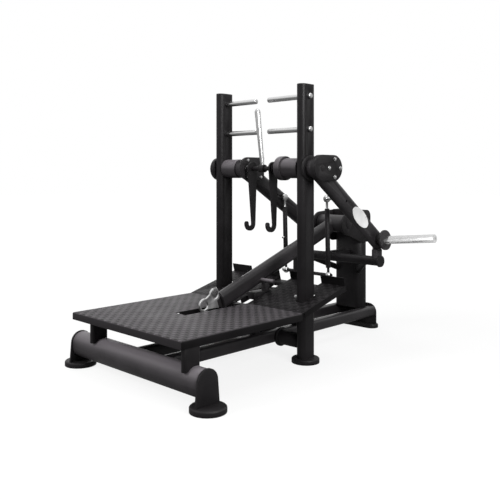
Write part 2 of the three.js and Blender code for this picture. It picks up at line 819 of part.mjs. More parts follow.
function addHeadAxis() {
  const centre = { y: 0, z: head.z };
  const boreThrough = (from, to) => bar(axle.radius + turnGap, from, to, 0, head.z);
  const postInner = post.x - post.width / 2 - gap;
  const postOuter = post.x + post.width / 2 + gap;
  const drumTube = bar(drum.radius, drum.inner, postInner, 0, head.z);
  const flange = bar(drum.flangeRadius, drum.flangeInner, drum.inner + weldOverlap, 0, head.z);
  add("bearing_drum_left", onSide(cut(drumTube, boreThrough(0, post.x)), -1));
  add("bearing_drum_right", cut(join(drumTube, flange), boreThrough(0, post.x)));

  // Axles through the drums and posts; the catch shaft's spigots turn in their inner ends
  const spigotHole = catchShaft.spigotRadius + turnGap;
  const spigotDepth = catchShaft.spigotLength + gap;
  const leftInner = -catchShaft.left + gap;
  const leftAxle = [
    [leftInner + spigotDepth, 0],
    [leftInner + spigotDepth, spigotHole],
    [leftInner, spigotHole],
    [leftInner, axle.radius],
    [postOuter, axle.radius],
    [postOuter, outerCap.radius],
    [postOuter + outerCap.left, outerCap.radius],
    [postOuter + outerCap.left, 0],
  ];
  const rightInner = catchShaft.right + gap;
  const coverFace = weightArm.inner + weightArm.width + gap + cover.thickness;
  const rightAxle = [
    [rightInner + spigotDepth, 0],
    [rightInner + spigotDepth, spigotHole],
    [rightInner, spigotHole],
    [rightInner, axle.radius],
    [postOuter, axle.radius],
    [postOuter, outerCap.radius],
    [postOuter + outerCap.right, outerCap.radius],
    [postOuter + outerCap.right, axle.radius],
    [coverFace, axle.radius],
    [coverFace, 0],
  ];
  add("pivot_axle_left", onSide(turned(leftAxle, 0, head.z), -1));
  add("pivot_axle_right", turned(rightAxle, 0, head.z));

  // Weight arm: tube, round head on the axle, end plate
  const armX = weightArm.inner + weightArm.width / 2;
  const armFace = weightArm.inner + weightArm.width;
  const armTube = alongY(ovalTube(weightArm.width, weightArm.height, armX, 0), 0, weightArm.length);
  const armEnd = alongY(
    rounded(
      weightArm.width + 2 * armPlate.rim,
      weightArm.height + 2 * armPlate.rim,
      weightArm.width / 2,
      armX,
      0,
    ),
    weightArm.length - weldOverlap,
    weightArm.length + armPlate.thickness,
  );
  const armHead = bar(weightArm.height / 2, weightArm.inner, armFace, 0, 0);
  const armHole = bar(weightArm.holeRadius, armX, armFace + gap, weightArm.holeAt, 0);
  const armBore = bar(axle.radius + turnGap, weightArm.inner - gap, armFace + gap, 0, 0);
  const arm = cut(join(armTube, armEnd, armHead), armHole, armBore);
  add("weight_arm", swing(arm, -weightArm.slope, centre));

  // Two-lobed cover outside the arm, bolted round its rear lobe
  const coverIn = armFace + gap;
  const coverOutline = (inset) => {
    const shape = new THREE.Shape();
    arc(shape, cover.reach, head.z, cover.radius - inset, -quarter, 2);
    arc(shape, 0, head.z, cover.radius - inset, quarter, 2);
    shape.closePath();
    return shape;
  };
  const boltRing = Array.from({ length: cover.bolts }, (_, i) => [
    cover.reach + cover.boltCircle * Math.cos(i * quarter),
    head.z + cover.boltCircle * Math.sin(i * quarter),
  ]);
  const coverBody = cut(
    join(
      alongX(coverOutline(0), coverIn, coverFace - cover.edge),
      alongX(coverOutline(cover.edge), coverIn, coverFace),
      ...boltHeads(boltRing, coverFace, 1),
    ),
    boreThrough(armX, coverFace + gap),
  );
  add("arm_cover", coverBody);

  // Weight horn: hub on the arm, collar and bar, the bar rising a little outwards
  const hubEnd = coverIn + horn.hubLength;
  const hornLength = (horn.tip - hubEnd) / Math.cos(horn.rise * degrees);
  const hornBar = turned(
    [
      [-horn.collar, 0],
      [-horn.collar, horn.radius],
      [0, horn.radius],
      [0, horn.collarRadius],
      [horn.collar, horn.collarRadius],
      [horn.collar, horn.radius],
      [hornLength - cover.edge, horn.radius],
      [hornLength, horn.radius - cover.edge],
      [hornLength, 0],
    ],
    0,
    0,
  ).rotate([0, -horn.rise, 0]);
  const hornAt = weightArm.length - horn.fromEnd;
  const hornY = hornAt * Math.cos(weightArm.slope * degrees);
  const hornZ = head.z - hornAt * Math.sin(weightArm.slope * degrees);
  const hornHub = bar(horn.hubRadius, coverIn, hubEnd, hornY, hornZ);
  add("weight_horn", join(hornHub, hornBar.translate([hubEnd, hornY, hornZ])), paint.chrome);

  const badgeBody = bar(badge.halfLength, coverIn, coverIn + badge.thickness, 0, 0);
  const badgeAt = weightArm.length - badge.fromEnd;
  const badgeY = badgeAt * Math.cos(weightArm.slope * degrees);
  const badgeZ = head.z - badgeAt * Math.sin(weightArm.slope * degrees);
  const oval = badgeBody.scale([1, 1, badge.halfWidth / badge.halfLength]);
  add("badge_plate", swing(oval, -weightArm.slope, { y: badgeY, z: badgeZ }), paint.alloy);

  // Inner lever on the left axle, with its bolted head plate
  const leverX = lever.inner - lever.width / 2;
  const leverOuter = lever.inner - lever.width;
  const leverTube = alongY(ovalTube(lever.width, lever.height, leverX, 0), 0, lever.length);
  const leverEnd = alongY(
    flatOval(lever.width, lever.height, leverX, 0),
    lever.length - weldOverlap,
    lever.length + armPlate.thickness,
  );
  const leverHead = bar(lever.height / 2, leverOuter, lever.inner, 0, 0);
  const leverHole = bar(ventRadius, leverX, lever.inner + gap, weightArm.holeAt, 0);
  const headOutline = new THREE.Shape();
  arc(headOutline, 0, head.z, lever.headRadius, quarter, 2);
  headOutline.lineTo(lever.headRear, head.z - lever.headRadius);
  headOutline.lineTo(lever.headRear, head.z + lever.headRadius);
  headOutline.closePath();
  const plateFace = lever.inner + lever.headPlate;
  const headPlate = alongX(headOutline, lever.inner - weldOverlap, plateFace);
  const headBoltPlaces = [0, headBolts.rear].flatMap((y) =>
    [headBolts.up, -headBolts.up].map((up) => [y, head.z + up]),
  );
  const leverBody = cut(
    join(
      swing(cut(join(leverTube, leverEnd, leverHead), leverHole), -lever.slope, centre),
      headPlate,
      ...boltHeads(headBoltPlaces, plateFace, 1),
    ),
    boreThrough(leverOuter - gap, plateFace + gap),
  );
  add("inner_lever", leverBody);

  // Release catch: shaft, two hooks and the hand lever
  const shaftEnd = { left: catchShaft.left - catchShaft.spigotLength, right: catchShaft.right + catchShaft.spigotLength };
  const shaftProfile = [
    [shaftEnd.left, 0],
    [shaftEnd.left, catchShaft.spigotRadius],
    [catchShaft.left, catchShaft.spigotRadius],
    [catchShaft.left, catchShaft.radius],
    [catchShaft.right, catchShaft.radius],
    [catchShaft.right, catchShaft.spigotRadius],
    [shaftEnd.right, catchShaft.spigotRadius],
    [shaftEnd.right, 0],
  ];
  add("catch_shaft", turned(shaftProfile, 0, head.z), paint.chrome);

  // The hooks' throats hang where the caught peg would be, turned back by the catch's travel
  const pegSlope = Math.atan2(armPivot.z - peg.z, armPivot.y - peg.y) - travel.caught * degrees;
  const pegReach = Math.hypot(armPivot.z - peg.z, armPivot.y - peg.y);
  const caughtY = armPivot.y - pegReach * Math.cos(pegSlope);
  const caughtDrop = head.z - armPivot.z + pegReach * Math.sin(pegSlope);
  const hangs = Math.atan2(-caughtY, caughtDrop) - travel.catch * degrees;
  const throatReach = Math.hypot(caughtY, caughtDrop);
  const throatY = -throatReach * Math.sin(hangs);
  const drop = throatReach * Math.cos(hangs);
  const middle = (throat.inner + throat.outer) / 2;
  const hookOutline = new THREE.Shape();
  hookOutline.moveTo(hook.stem / 2, 0);
  hookOutline.lineTo(-hook.stem / 2, 0);
  hookOutline.lineTo(throatY + throat.inner, -drop);
  arc(hookOutline, throatY, -drop, throat.inner, 0, -2);
  const tipRadius = (throat.outer - throat.inner) / 2;
  arc(hookOutline, throatY - middle, throat.tip - drop, tipRadius, 0, 2);
  arc(hookOutline, throatY, -drop, throat.outer, 2 * quarter, 2);
  hookOutline.closePath();
  const shaftHole = bar(catchShaft.radius + gap, 0, catchShaft.right, 0, 0);
  const hookIn = hook.x - hook.thickness / 2;
  const hookOut = hook.x + hook.thickness / 2;
  const hookBody = cut(
    join(
      alongX(hookOutline, hookIn, hookOut),
      bar(hook.eyeRadius, hookIn, hookOut, 0, 0),
      bar(hook.hubRadius, hookIn, hookOut + hook.hubLength, 0, 0),
    ),
    shaftHole,
  );
  for (const { name, sign } of sides) {
    add("hook_" + name, onSide(swing(hookBody, 0, centre), sign));
  }

  const leanAngle = Math.atan2(handle.lean, handle.top - head.z) / degrees;
  const handleLength = Math.hypot(handle.lean, handle.top - head.z);
  const grab = upright(
    [
      [0, 0],
      [handle.foot, 0],
      [handle.tip, handleLength - handle.tip],
      [handle.tip * Math.cos(quarter / 2), handleLength - handle.tip * (1 - Math.sin(quarter / 2))],
      [0, handleLength],
    ],
    0,
    0,
    smallSteps,
  );
  const collar = bar(handle.collarRadius, -handle.collarHalf, handle.collarHalf, 0, 0);
  const bore = bar(catchShaft.radius + gap, -handle.collarHalf - gap, handle.collarHalf + gap, 0, 0);
  const handleBody = cut(join(grab, collar), bore);
  add("hand_lever", swing(handleBody, leanAngle, centre), paint.chrome);
}

addFloorFrame();
addPosts();
addDeck();
addColumn();
addBeltArm();
addLinkRods();
addHeadAxis();

// The origin lies on the floor, under the middle of the whole part
const bounds = new THREE.Box3().setFromObject(machine);
const middlePoint = bounds.getCenter(new THREE.Vector3());
machine.position.set(-middlePoint.x, -middlePoint.y, 0);
const part = new THREE.Group();
part.add(machine);

export default part;
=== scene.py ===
"""A belt squat machine on a white floor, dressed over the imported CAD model.

Lengths are metres in the CAD's own frame: +X towards the weight horn, +Y to the rear, +Z up.
Pieces are placed from the boxes of the nodes that carry them."""

import math

import bmesh
import bpy
from mathutils import Matrix, Vector


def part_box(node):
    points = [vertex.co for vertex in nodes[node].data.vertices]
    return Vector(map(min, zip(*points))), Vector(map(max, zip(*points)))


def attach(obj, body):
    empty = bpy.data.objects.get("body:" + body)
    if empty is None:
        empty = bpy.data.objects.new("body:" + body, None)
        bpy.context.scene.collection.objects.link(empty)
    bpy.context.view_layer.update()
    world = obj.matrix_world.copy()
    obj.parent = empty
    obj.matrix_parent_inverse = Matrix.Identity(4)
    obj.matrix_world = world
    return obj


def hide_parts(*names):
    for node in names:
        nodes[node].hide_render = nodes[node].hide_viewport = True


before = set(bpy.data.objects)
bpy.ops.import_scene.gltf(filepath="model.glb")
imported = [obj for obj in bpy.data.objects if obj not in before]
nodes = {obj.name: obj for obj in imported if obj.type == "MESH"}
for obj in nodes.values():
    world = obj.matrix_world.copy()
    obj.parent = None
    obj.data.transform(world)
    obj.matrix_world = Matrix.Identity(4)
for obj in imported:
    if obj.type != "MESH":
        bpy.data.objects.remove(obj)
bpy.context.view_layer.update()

# Numbers of the axes in a place
X, Z = 0, 2

# Camera: level, from the front right, as the photograph's lines converge
CAMERA_PLACE = (2.687, -2.9727, 1.0743)
CAMERA_AZIMUTH = math.radians(44.5)
CAMERA_LENS = 47.79
CAMERA_SHIFT = (0.003, -0.149)

# Rounding of sharp edges
EDGE = 0.0014
EDGE_STEPS = 2
EDGE_ANGLE = math.radians(32)
WELD_DISTANCE = 1e-5


# Materials


class Nodes:
    """Short calls for building the node tree of a material or a world."""

    def __init__(self, owner):
        owner.use_nodes = True
        self.owner = owner
        self.tree = owner.node_tree
        self.spots = self.add("ShaderNodeTexCoord").outputs
        self.place = self.spots["Object"]

    def add(self, kind, **inputs):
        """A new node; a space in a socket's name is written as an underscore."""
        node = self.tree.nodes.new(kind)
        for key, value in inputs.items():
            self.feed(node.inputs[key.replace("_", " ")], value)
        return node

    def feed(self, socket, value):
        """Links a socket to another, or sets its value."""
        if isinstance(value, bpy.types.NodeSocket):
            self.tree.links.new(value, socket)
        else:
            socket.default_value = value

    def feed_all(self, node, values):
        """Feeds a node's first sockets in order."""
        for socket, value in zip(node.inputs, values):
            self.feed(socket, value)
        return node.outputs[0]

    def math(self, operation, first, second=0.0):
        node = self.add("ShaderNodeMath")
        node.operation = operation
        return self.feed_all(node, (first, second))

    def noise(self, scale, detail, place=None):
        place = place or self.place
        return self.add("ShaderNodeTexNoise", Scale=scale, Detail=detail, Vector=place).outputs["Fac"]

    def spread(self, value, low, high, start=0.3, end=0.7):
        """Low to high as the value goes from start to end, by default the span of a noise."""
        ends = {"From_Min": start, "From_Max": end, "To_Min": low, "To_Max": high}
        return self.add("ShaderNodeMapRange", Value=value, **ends).outputs[0]

    def z_of(self, vector):
        return self.add("ShaderNodeSeparateXYZ", Vector=vector).outputs["Z"]

    def blend(self, factor, first, second):
        """A colour between two."""
        node = self.add("ShaderNodeMix")
        node.data_type = "RGBA"
        self.feed(node.inputs["Factor"], factor)
        self.feed(node.inputs["A"], first)
        self.feed(node.inputs["B"], second)
        return node.outputs["Result"]

    def choose(self, flag, first, second):
        """One shader, or another where the flag is 1."""
        return self.feed_all(self.add("ShaderNodeMixShader"), (flag, first, second))

    def bump(self, height, distance, strength, under=None):
        node = self.add("ShaderNodeBump", Height=height, Distance=distance, Strength=strength)
        if under:
            self.feed(node.inputs["Normal"], under)
        return node.outputs["Normal"]

    def finish(self, **values):
        """Feeds the material's main shader and returns the material."""
        shader = self.tree.nodes["Principled BSDF"]
        for key, value in values.items():
            self.feed(shader.inputs[key.replace("_", " ")], value)
        return self.owner


TINT = (1.06, 0.97, 1.05)  # the faint plum cast of the coat
NEUTRAL = (1, 1, 1)

# In the tables below grain, patches and smudges are a noise's scale and detail, and a relief is the
# depth and the strength of a bump
COAT = {
    "grain": (900, 2),
    "relief": (0.00035, 0.6),
    "patches": (6, 5),
    "dusty": (0.42, 0.7),  # the stretch of the patches over which dust comes in
    "gloss": (-0.05, 0.08),  # change of roughness over the patches
    "painted_top_light": (-0.1, 0.95),  # height of the normal where the painted top light starts, and where it is full
}
TREAD_FORM = {
    "cell": 0.03,  # side of a chequer square, which holds one bar
    "bar": (0.48, 0.19),  # half a bar's length and width, in shares of the cell
    "outline": (0.55, 1.15),  # a bar's soft edge, in squares of those shares
    "relief": (0.002, 0.9),
    "upward": (0.5, 0.7),  # height of the normal where the bars start, and where they stand full
    "patches": (9, 5),
    "lighter_on_top": (0.55, 1),  # its share over the patches
    "gloss": 0.12,  # change of roughness over the patches
    "grain": (900, 2),
    "grain_relief": (0.0003, 0.5),
    "cross": 0.002,  # grey of the bars that lie along X, near black as painted shade
}
METAL = {
    "stretch": (8, 260, 260),
    "detail": 3,
    "relief": (0.00004, 0.08),
    "smudges": (24, 3),
    "dull": 0.9,  # share of the brightness that is left under a smudge
    "gloss": (-0.04, 0.06),
}
SOFT_RUBBER = {
    "patches": (30, 4),
    "greys": (0.02, 0.034),
    "rough": (0.62, 0.8),
    "grain": (500, 2),
    "relief": (0.0003, 0.5),
}


def grey(value, tint=TINT):
    return (*(value * share for share in tint), 1)


def powder_coat(name, dark, light, rough, sheen, painted_top_light=None):
    """Fine-textured black powder coat with faint dust; where a value is given, faces that look up are
    lightened towards it as painted top light.
    """
    n = Nodes(bpy.data.materials.new(name))
    patches = n.noise(*COAT["patches"])
    colour = n.blend(n.spread(patches, 0, 1, *COAT["dusty"]), grey(dark), grey(light))
    # Painted top light: faces that look up are made lighter, standing in for light from above
    if painted_top_light:
        lighter_on_top = n.spread(n.z_of(n.spots["Normal"]), 0, 1, *COAT["painted_top_light"])
        colour = n.blend(lighter_on_top, colour, grey(painted_top_light))
    glossier, rougher = COAT["gloss"]
    return n.finish(
        Base_Color=colour,
        Roughness=n.spread(patches, rough + glossier, rough + rougher),
        Specular_IOR_Level=sheen,
        Normal=n.bump(n.noise(*COAT["grain"]), *COAT["relief"]),
    )


def chequer_bars(n):
    """A mask of raised bars, laid crosswise square by square, and where they lie along X."""
    split = n.add("ShaderNodeSeparateXYZ", Vector=n.place)
    u = n.math("DIVIDE", split.outputs["X"], TREAD_FORM["cell"])
    v = n.math("DIVIDE", split.outputs["Y"], TREAD_FORM["cell"])
    row = n.math("ADD", n.math("FLOOR", u), n.math("FLOOR", v))
    odd = n.math("FLOORED_MODULO", row, 2.0)
    even = n.math("SUBTRACT", 1.0, odd)
    local_u = n.math("SUBTRACT", n.math("FRACT", u), 0.5)
    local_v = n.math("SUBTRACT", n.math("FRACT", v), 0.5)
    along = n.math("ADD", n.math("MULTIPLY", local_u, odd), n.math("MULTIPLY", local_v, even))
    across = n.math("ADD", n.math("MULTIPLY", local_v, odd), n.math("MULTIPLY", local_u, even))
    half_length, half_width = TREAD_FORM["bar"]
    out = n.math(
        "ADD",
        n.math("POWER", n.math("DIVIDE", along, half_length), 2.0),
        n.math("POWER", n.math("DIVIDE", across, half_width), 2.0),
    )
    return n.spread(out, 1, 0, *TREAD_FORM["outline"]), odd


def tread_plate(name, dark, light, bars, rough, sheen):
    """Raised bars under the same black coat on faces that look up. The bars along Y are lighter than the
    ground, as wear on their tops and as painted highlight; those along X are near black, as painted
    shade.
    """
    n = Nodes(bpy.data.materials.new(name))
    bar, along_x = chequer_bars(n)
    upward = n.spread(n.z_of(n.spots["Normal"]), 0, 1, *TREAD_FORM["upward"])
    bar = n.math("MULTIPLY", bar, upward)
    patches = n.noise(*TREAD_FORM["patches"])
    dusty = n.math("MULTIPLY", n.spread(patches, *TREAD_FORM["lighter_on_top"]), upward)
    ground = n.blend(dusty, grey(dark), grey(light))
    # Bars along Y take the lighter grey, as wear and painted highlight; bars along X take a near black,
    # as painted shade
    top = n.blend(along_x, grey(bars), grey(TREAD_FORM["cross"]))
    grain = n.bump(n.noise(*TREAD_FORM["grain"]), *TREAD_FORM["grain_relief"])
    return n.finish(
        Base_Color=n.blend(bar, ground, top),
        Roughness=n.spread(patches, rough, rough + TREAD_FORM["gloss"]),
        Specular_IOR_Level=sheen,
        Normal=n.bump(bar, *TREAD_FORM["relief"], grain),
    )


def bright_metal(name, value, rough, streak, metal=1.0):
    """Plated or brushed metal: fine streaks along X and a soft change of gloss."""
    n = Nodes(bpy.data.materials.new(name))
    stretched = n.add("ShaderNodeMapping", Vector=n.place, Scale=METAL["stretch"])
    lines = n.noise(streak, METAL["detail"], stretched.outputs[0])
    smudges = n.noise(*METAL["smudges"])
    dull = grey(value * METAL["dull"], NEUTRAL)
    glossier, rougher = METAL["gloss"]
    return n.finish(
        Base_Color=n.blend(n.spread(smudges, 0, 1), dull, grey(value, NEUTRAL)),
        Metallic=metal,
        Roughness=n.spread(smudges, rough + glossier, rough + rougher),
        Normal=n.bump(lines, *METAL["relief"]),
    )


def rubber(name):
    n = Nodes(bpy.data.materials.new(name))
    patches = n.noise(*SOFT_RUBBER["patches"])
    dark, light = SOFT_RUBBER["greys"]
    return n.finish(
        Base_Color=n.blend(n.spread(patches, 0, 1), grey(dark), grey(light)),
        Roughness=n.spread(patches, *SOFT_RUBBER["rough"]),
        Normal=n.bump(n.noise(*SOFT_RUBBER["grain"]), *SOFT_RUBBER["relief"]),
    )


BLACK = powder_coat("black_powder_coat", dark=0.009, light=0.015, rough=0.42, sheen=0.22)
# A darker copy of the black coat for faces that look along X: painted shade
BLACK_SIDE_PAINTED_SHADE = powder_coat("black_side_coat_painted_shade", dark=0.005, light=0.008, rough=0.5, sheen=0.1)
BLACK_ARM = powder_coat("black_arm_coat", dark=0.018, light=0.028, rough=0.38, sheen=0.3)
# The tube coat's faces that look up are lightened: painted top light
BLACK_TUBE = powder_coat("black_tube_coat", dark=0.022, light=0.034, rough=0.4, sheen=0.28, painted_top_light=0.14)
TREAD = tread_plate("black_tread_plate", dark=0.02, light=0.052, bars=0.098, rough=0.5, sheen=0.1)
# The footplates' tread is a darker copy of the deck's: painted shade
TREAD_PAINTED_SHADE = tread_plate(
    "black_footplate_tread_painted_shade", dark=0.003, light=0.012, bars=0.02, rough=0.45, sheen=0.08
)
CHROME = bright_metal("chrome_bar", value=0.67, rough=0.2, streak=3)
STEEL = bright_metal("worn_steel", value=0.6, rough=0.3, streak=6)
FORGED = bright_metal("forged_steel", value=0.62, rough=0.4, streak=5)
ZINC = bright_metal("zinc_bolt", value=0.7, rough=0.32, streak=8)
# Not metallic, so that the plate stays pale whatever it faces
ALLOY = bright_metal("brushed_alloy", value=0.88, rough=0.5, streak=5, metal=0.0)
RUBBER = rubber("black_rubber")


# Finish of the CAD nodes: plain black coat, apart from these

FINISH = (
    (TREAD, ("deck",)),
    (TREAD_PAINTED_SHADE, ("footplate_left", "footplate_right")),
    (CHROME, ("grip_upper_left", "grip_upper_right", "grip_lower_left", "grip_lower_right")),
    (CHROME, ("weight_horn",)),
    (STEEL, ("hand_lever",)),
    (FORGED, ("hitch_plate",)),
    (ALLOY, ("badge_plate",)),
    (BLACK_ARM, ("belt_arm", "weight_arm", "inner_lever", "base_rail_left", "base_rail_right")),
    (RUBBER, ("rest_pad", "arm_bumper")),
    (BLACK_TUBE, ("front_base_tube", "bearing_drum_left", "bearing_drum_right")),
)


def round_edges(obj, width, steps):
    bevel = obj.modifiers.new("edges", "BEVEL")
    bevel.limit_method = "ANGLE"
    bevel.angle_limit = EDGE_ANGLE
    bevel.width = width
    bevel.segments = steps
    bevel.harden_normals = True


def dress(name, material, width, steps):
    """One material, rounded edges and smooth shading on a CAD node."""
    obj = nodes[name]
    obj.data.materials.clear()
    obj.data.materials.append(material)
    for face in obj.data.polygons:
        face.use_smooth = True
        face.material_index = 0
    weld = obj.modifiers.new("weld", "WELD")
    weld.merge_threshold = WELD_DISTANCE
    round_edges(obj, width, steps)


def second_finish(name, material, test):
    """Gives the faces that pass the test another material."""
    obj = nodes[name]
    obj.data.materials.append(material)
    for face in obj.data.polygons:
        if test(face):
            face.material_index = 1


def beyond(axis, low=-math.inf, high=math.inf):
    """A test for faces whose middle is past either end of a stretch of an axis."""
    return lambda face: not low <= face.center[axis] <= high


# The forged link has rounder edges than cut sheet: their width and steps
FORGED_EDGES = {"hitch_plate": (0.003, 3)}
for name in nodes:
    dress(name, BLACK, *FORGED_EDGES.get(name, (EDGE, EDGE_STEPS)))
for material, names in FINISH:
    for name in names:
        nodes[name].data.materials[0] = material

# The link's root is coated with the arm; the rest of its body and its upper ring stay bright
LINK = {
    "lobe": 0.038,  # radius round each eye
    "between": 0.08,  # the upper eye's distance behind the lower one
    "slope": math.radians(20),
    "from_end": 0.0289,  # from the arm's end to the upper eye, along the slope
    "root": 0.03,  # how far the coat goes past the arm's end
    "soft": 0.002,
    "grey": 0.012,
}


def coated_root(material, node):
    """Black on a link's faces near the arm's end, outside its upper ring."""
    low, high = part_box(node)
    n = Nodes(material.copy())
    n.owner.name = material.name + "_coated_root"
    split = n.add("ShaderNodeSeparateXYZ", Vector=n.place)
    y = n.math("SUBTRACT", split.outputs["Y"], low.y + LINK["lobe"] + LINK["between"])
    z = n.math("SUBTRACT", split.outputs["Z"], high.z - LINK["lobe"])
    down = n.math("MULTIPLY", y, -math.cos(LINK["slope"]))
    along = n.math("ADD", down, n.math("MULTIPLY", z, -math.sin(LINK["slope"])))
    past = n.math("ADD", along, LINK["from_end"])
    away = n.math("SQRT", n.math("ADD", n.math("POWER", y, 2.0), n.math("POWER", z, 2.0)))
    root = n.spread(past, 1, 0, LINK["root"] - LINK["soft"], LINK["root"])
    outside = n.spread(away, 0, 1, LINK["lobe"] - LINK["soft"], LINK["lobe"])
    mask = n.math("MULTIPLY", root, outside)
    bright = n.tree.nodes["Principled BSDF"].inputs["Base Color"].links[0].from_socket
    return n.finish(
        Base_Color=n.blend(mask, bright, grey(LINK["grey"])),
        Metallic=n.math("SUBTRACT", 1.0, mask),
    )


nodes["hitch_plate"].data.materials[0] = coated_root(FORGED, "hitch_plate")

# Faces of the deck and footplates that look along X take the darker coat as painted shade
SIDEWAYS = 0.9
for name in ("deck", "footplate_left", "footplate_right"):
    second_finish(name, BLACK_SIDE_PAINTED_SHADE, lambda face: abs(face.normal.x) > SIDEWAYS)

HORN_COLLAR = 0.058  # from the inner face of the horn's hub to the outer face of its collar
horn_low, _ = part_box("weight_horn")
second_finish("weight_horn", BLACK, beyond(X, low=horn_low.x + HORN_COLLAR))

# The rods' ends are bright, and the tube between them is black
ROD_BRIGHT_TOP = 0.085
ROD_BRIGHT_FOOT = 0.042
for name in ("link_rod_left", "link_rod_right"):
    low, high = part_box(name)
    second_finish(name, CHROME, beyond(Z, low.z + ROD_BRIGHT_FOOT, high.z - ROD_BRIGHT_TOP))

LEVER_COLLAR = 0.052  # just over the height of the hand lever's collar on the shaft
lever_low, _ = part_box("hand_lever")
second_finish("hand_lever", BLACK, beyond(Z, low=lever_low.z + LEVER_COLLAR))

# Zinc bolt heads that belong to a CAD node: the outermost layer on one side
BOLT_LAYER = 0.0055
for name in ("inner_lever", "column_cheek_right"):
    _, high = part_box(name)
    second_finish(name, ZINC, beyond(X, high=high.x - BOLT_LAYER))
cheek_low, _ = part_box("column_cheek_left")
second_finish("column_cheek_left", ZINC, beyond(X, low=cheek_low.x + BOLT_LAYER))

AXLE_END = 0.012
_, axle_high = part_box("pivot_axle_left")
second_finish("pivot_axle_left", ZINC, beyond(X, high=axle_high.x - AXLE_END))

# The catch peg's ends, which stick out beside the arm; the hub at the arm's rear is left out
PEG_REACH = 0.034
HUB_FRONT = 0.1  # from the axle to a place in front of the hub
belt_low, belt_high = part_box("belt_arm")
belt_middle = (belt_low.x + belt_high.x) / 2
axle_low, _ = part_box("arm_axle")


def on_peg(face):
    aside = abs(face.center.x - belt_middle) > PEG_REACH
    return aside and face.center.y < axle_low.y - HUB_FRONT


second_finish("belt_arm", BLACK_TUBE, on_peg)


# Small pieces made here


def mesh_piece(name, build, material, body):
    """A new object from a bmesh builder, riding on a body."""
    mesh = bpy.data.meshes.new(name)
    work = bmesh.new()
    build(work)
    bmesh.ops.recalc_face_normals(work, faces=work.faces)
    for face in work.faces:
        face.smooth = True
    work.to_mesh(mesh)
    work.free()
    obj = bpy.data.objects.new(name, mesh)
    bpy.context.scene.collection.objects.link(obj)
    mesh.materials.append(material)
    round_edges(obj, EDGE / 2, EDGE_STEPS)
    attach(obj, body)
    return obj


def facing(axis, place):
    """The matrix that takes +Z to an axis, at a place."""
    turn = Vector((0, 0, 1)).rotation_difference(Vector(axis))
    return Matrix.Translation(place) @ turn.to_matrix().to_4x4()


def disc(work, radius, low, high, steps, matrix, top_radius=None):
    """A short cylinder or cone from low to high along its axis."""
    bmesh.ops.create_cone(
        work,
        cap_ends=True,
        segments=steps,
        radius1=radius,
        radius2=top_radius or radius,
        depth=high - low,
        matrix=matrix @ Matrix.Translation((0, 0, (low + high) / 2)),
    )


def arc(y, z, radius, start, end, steps):
    """Points from one angle to another, in half turns."""
    points = []
    for i in range(steps + 1):
        angle = math.pi * (start + (end - start) * i / steps)
        points.append((y + radius * math.cos(angle), z + radius * math.sin(angle)))
    return points


def circle(y, z, radius, count):
    """Points evenly round a whole turn."""
    return arc(y, z, radius, 0, 2 - 2 / count, count - 1)


def middle_of(name):
    low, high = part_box(name)
    return (low + high) / 2


PROUD = 0.0004  # how far a new bolt stands off the face under it
BOLT = {
    "sides": 6,
    "radius": 0.0085,  # to a corner
    "height": 0.0072,
    "dome": 0.0012,
    "dome_shares": (0.8, 0.55),  # of the bolt's radius, at the dome's foot and top
    "dome_steps": 18,
    "washer": 0.0118,
    "washer_height": 0.0022,
    "washer_steps": 24,
}


def bolts(name, places, axis, body):
    """Zinc hexagon bolts, each on a washer, with their ends domed."""
    radius, height = BOLT["radius"], BOLT["height"]
    foot, top = (radius * share for share in BOLT["dome_shares"])

    def build(work):
        for place in places:
            matrix = facing(axis, Vector(place))
            disc(work, BOLT["washer"], 0, BOLT["washer_height"], BOLT["washer_steps"], matrix)
            disc(work, radius, BOLT["washer_height"], height, BOLT["sides"], matrix)
            disc(work, foot, height, height + BOLT["dome"], BOLT["dome_steps"], matrix, top)

    return mesh_piece(name, build, ZINC, body)


# The cover's four bolts, round its rear lobe
COVER_BOLTS = 4
COVER_BOLT_CIRCLE = 0.052
CAD_BOLT_HEIGHT = 0.006  # how far the cover's plain bolt heads stand off its face
cover_low, cover_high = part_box("arm_cover")
lobe = (cover_high.z - cover_low.z) / 2
cover_face = cover_high.x - CAD_BOLT_HEIGHT + PROUD
cover_ring = circle(cover_high.y - lobe, middle_of("arm_cover").z, COVER_BOLT_CIRCLE, COVER_BOLTS)
bolts("cover_bolts", [(cover_face, y, z) for y, z in cover_ring], (1, 0, 0), "weight_arm")

# A bolt through each footplate beside its post
PLATE_SLOPE = math.radians(15)
PLATE_BOLT = {"aside": 0.272, "forward": 0.006}  # from the mid-plane, and from the posts' middle
_, deck_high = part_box("deck")
plate_low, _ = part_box("footplate_right")
middle_x = (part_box("post_left")[0].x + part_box("post_right")[1].x) / 2
bolt_y = middle_of("post_right").y - PLATE_BOLT["forward"]
bolt_z = deck_high.z + (bolt_y - plate_low.y) * math.tan(PLATE_SLOPE) + PROUD
plate_up = (0, -math.sin(PLATE_SLOPE), math.cos(PLATE_SLOPE))
for side, label in ((1, "right"), (-1, "left")):
    place = (middle_x + side * PLATE_BOLT["aside"], bolt_y, bolt_z)
    bolts("footplate_bolt_" + label, [place], plate_up, "frame")

# A grease nipple on the left rod, facing forward
ROD_TUBE = 0.015
ROD_LEAN = 0.015  # how far the rod's head is in front of its foot
NIPPLE = {
    "height": 0.667,
    "sunk": 0.002,
    "stem": 0.0055,
    "ball": 0.0085,
    "ball_depth": 0.008,
    "reach": 0.022,
    "steps": 14,
}


def nipple(work):
    low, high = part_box("link_rod_left")
    middle = middle_of("link_rod_left")
    share = (NIPPLE["height"] - low.z) / (high.z - low.z)
    y = middle.y - ROD_TUBE + ROD_LEAN * share + NIPPLE["sunk"]
    matrix = facing((0, -1, 0), Vector((middle.x, y, NIPPLE["height"])))
    stem, reach, steps = NIPPLE["stem"], NIPPLE["reach"], NIPPLE["steps"]
    disc(work, stem, 0, reach, steps, matrix)
    disc(work, NIPPLE["ball"], reach - NIPPLE["ball_depth"], reach, steps, matrix, stem)


mesh_piece("rod_nipple", nipple, ZINC, "link_rod_left")


